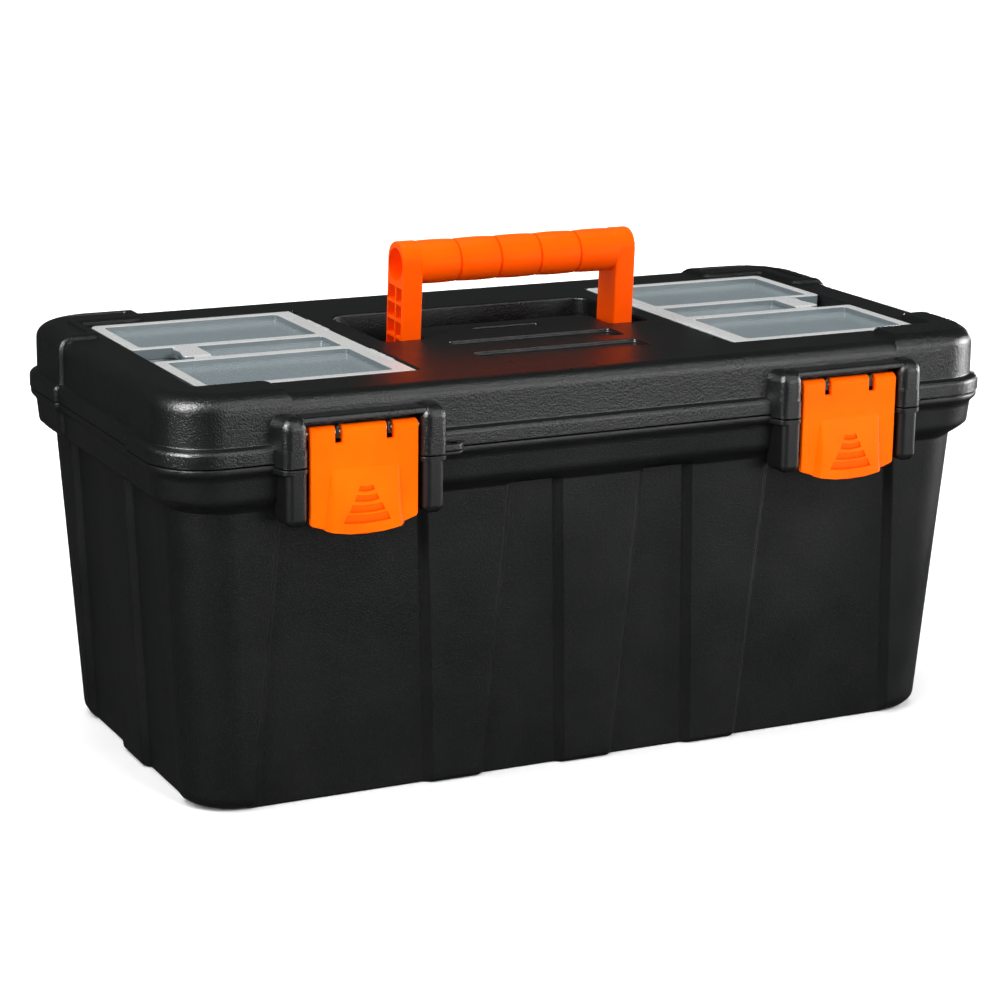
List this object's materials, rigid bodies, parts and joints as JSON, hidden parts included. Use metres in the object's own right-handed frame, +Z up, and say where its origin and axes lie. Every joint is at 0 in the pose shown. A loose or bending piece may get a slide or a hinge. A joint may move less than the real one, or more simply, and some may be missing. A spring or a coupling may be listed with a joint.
{
  "type": "carpenter toolbox",
  "caption": "Rectangular plastic toolbox: tapered ribbed tub, hinged lid with sunk small-parts organizers under clear covers, fold-down handle and front latches.",
  "frame": {"origin": "under the middle of the base, on the plane it stands on", "axes": "+X along the box's length, +Y towards the hinged back, so that the latches face -Y, +Z up"},
  "size_m": [0.56, 0.3045, 0.3144],
  "materials": {
    "tub_plastic": "black polypropylene with a fine spark-eroded grain",
    "lid_plastic": "black polypropylene, coarser grain on the sides, satin in the middle of the top",
    "tray_plastic": "black polypropylene, matte",
    "orange_plastic": "satin orange polypropylene",
    "clear_plastic": "translucent natural polypropylene, thin panes and thicker whitish rims",
    "milky_plastic": "translucent natural polypropylene",
    "steel": "drawn steel wire"
  },
  "bodies": {
    "tub": {"tub": "tub_plastic", "tray": "tray_plastic", "hinge_pin_left": "steel", "hinge_pin_right": "steel"},
    "lid": {"lid": "lid_plastic", "latch_pin_left": "steel", "latch_pin_right": "steel", "handle_pin_left": "steel", "handle_pin_right": "steel", "organizer_bin_left": "milky_plastic", "organizer_bin_right": "milky_plastic"},
    "handle": {"handle": "orange_plastic"},
    "latch_left": {"latch_left": "orange_plastic"},
    "latch_right": {"latch_right": "orange_plastic"},
    "organizer_lid_left": {"organizer_lid_left": "clear_plastic"},
    "organizer_lid_right": {"organizer_lid_right": "clear_plastic"}
  },
  "joints": [
    {"name": "lid_hinge", "type": "hinge", "parent": "tub", "child": "lid", "pos_m": [0, 0.1475, 0.2164], "axis": [-1, 0, 0], "range_deg": [0, 100]},
    {"name": "handle_fold", "type": "hinge", "parent": "lid", "child": "handle", "pos_m": [0, -0.003, 0.239], "axis": [-1, 0, 0], "range_deg": [0, 90]},
    {"name": "latch_left_swing", "type": "hinge", "parent": "lid", "child": "latch_left", "pos_m": [-0.164, -0.1443, 0.2323], "axis": [-1, 0, 0], "range_deg": [0, 100]},
    {"name": "latch_right_swing", "type": "hinge", "parent": "lid", "child": "latch_right", "pos_m": [0.164, -0.1443, 0.2323], "axis": [-1, 0, 0], "range_deg": [0, 100]},
    {"name": "organizer_lid_left_hinge", "type": "hinge", "parent": "lid", "child": "organizer_lid_left", "pos_m": [-0.111, 0, 0.2505], "axis": [0, 1, 0], "range_deg": [0, 95]},
    {"name": "organizer_lid_right_hinge", "type": "hinge", "parent": "lid", "child": "organizer_lid_right", "pos_m": [0.111, 0, 0.2505], "axis": [0, -1, 0], "range_deg": [0, 95]}
  ]
}
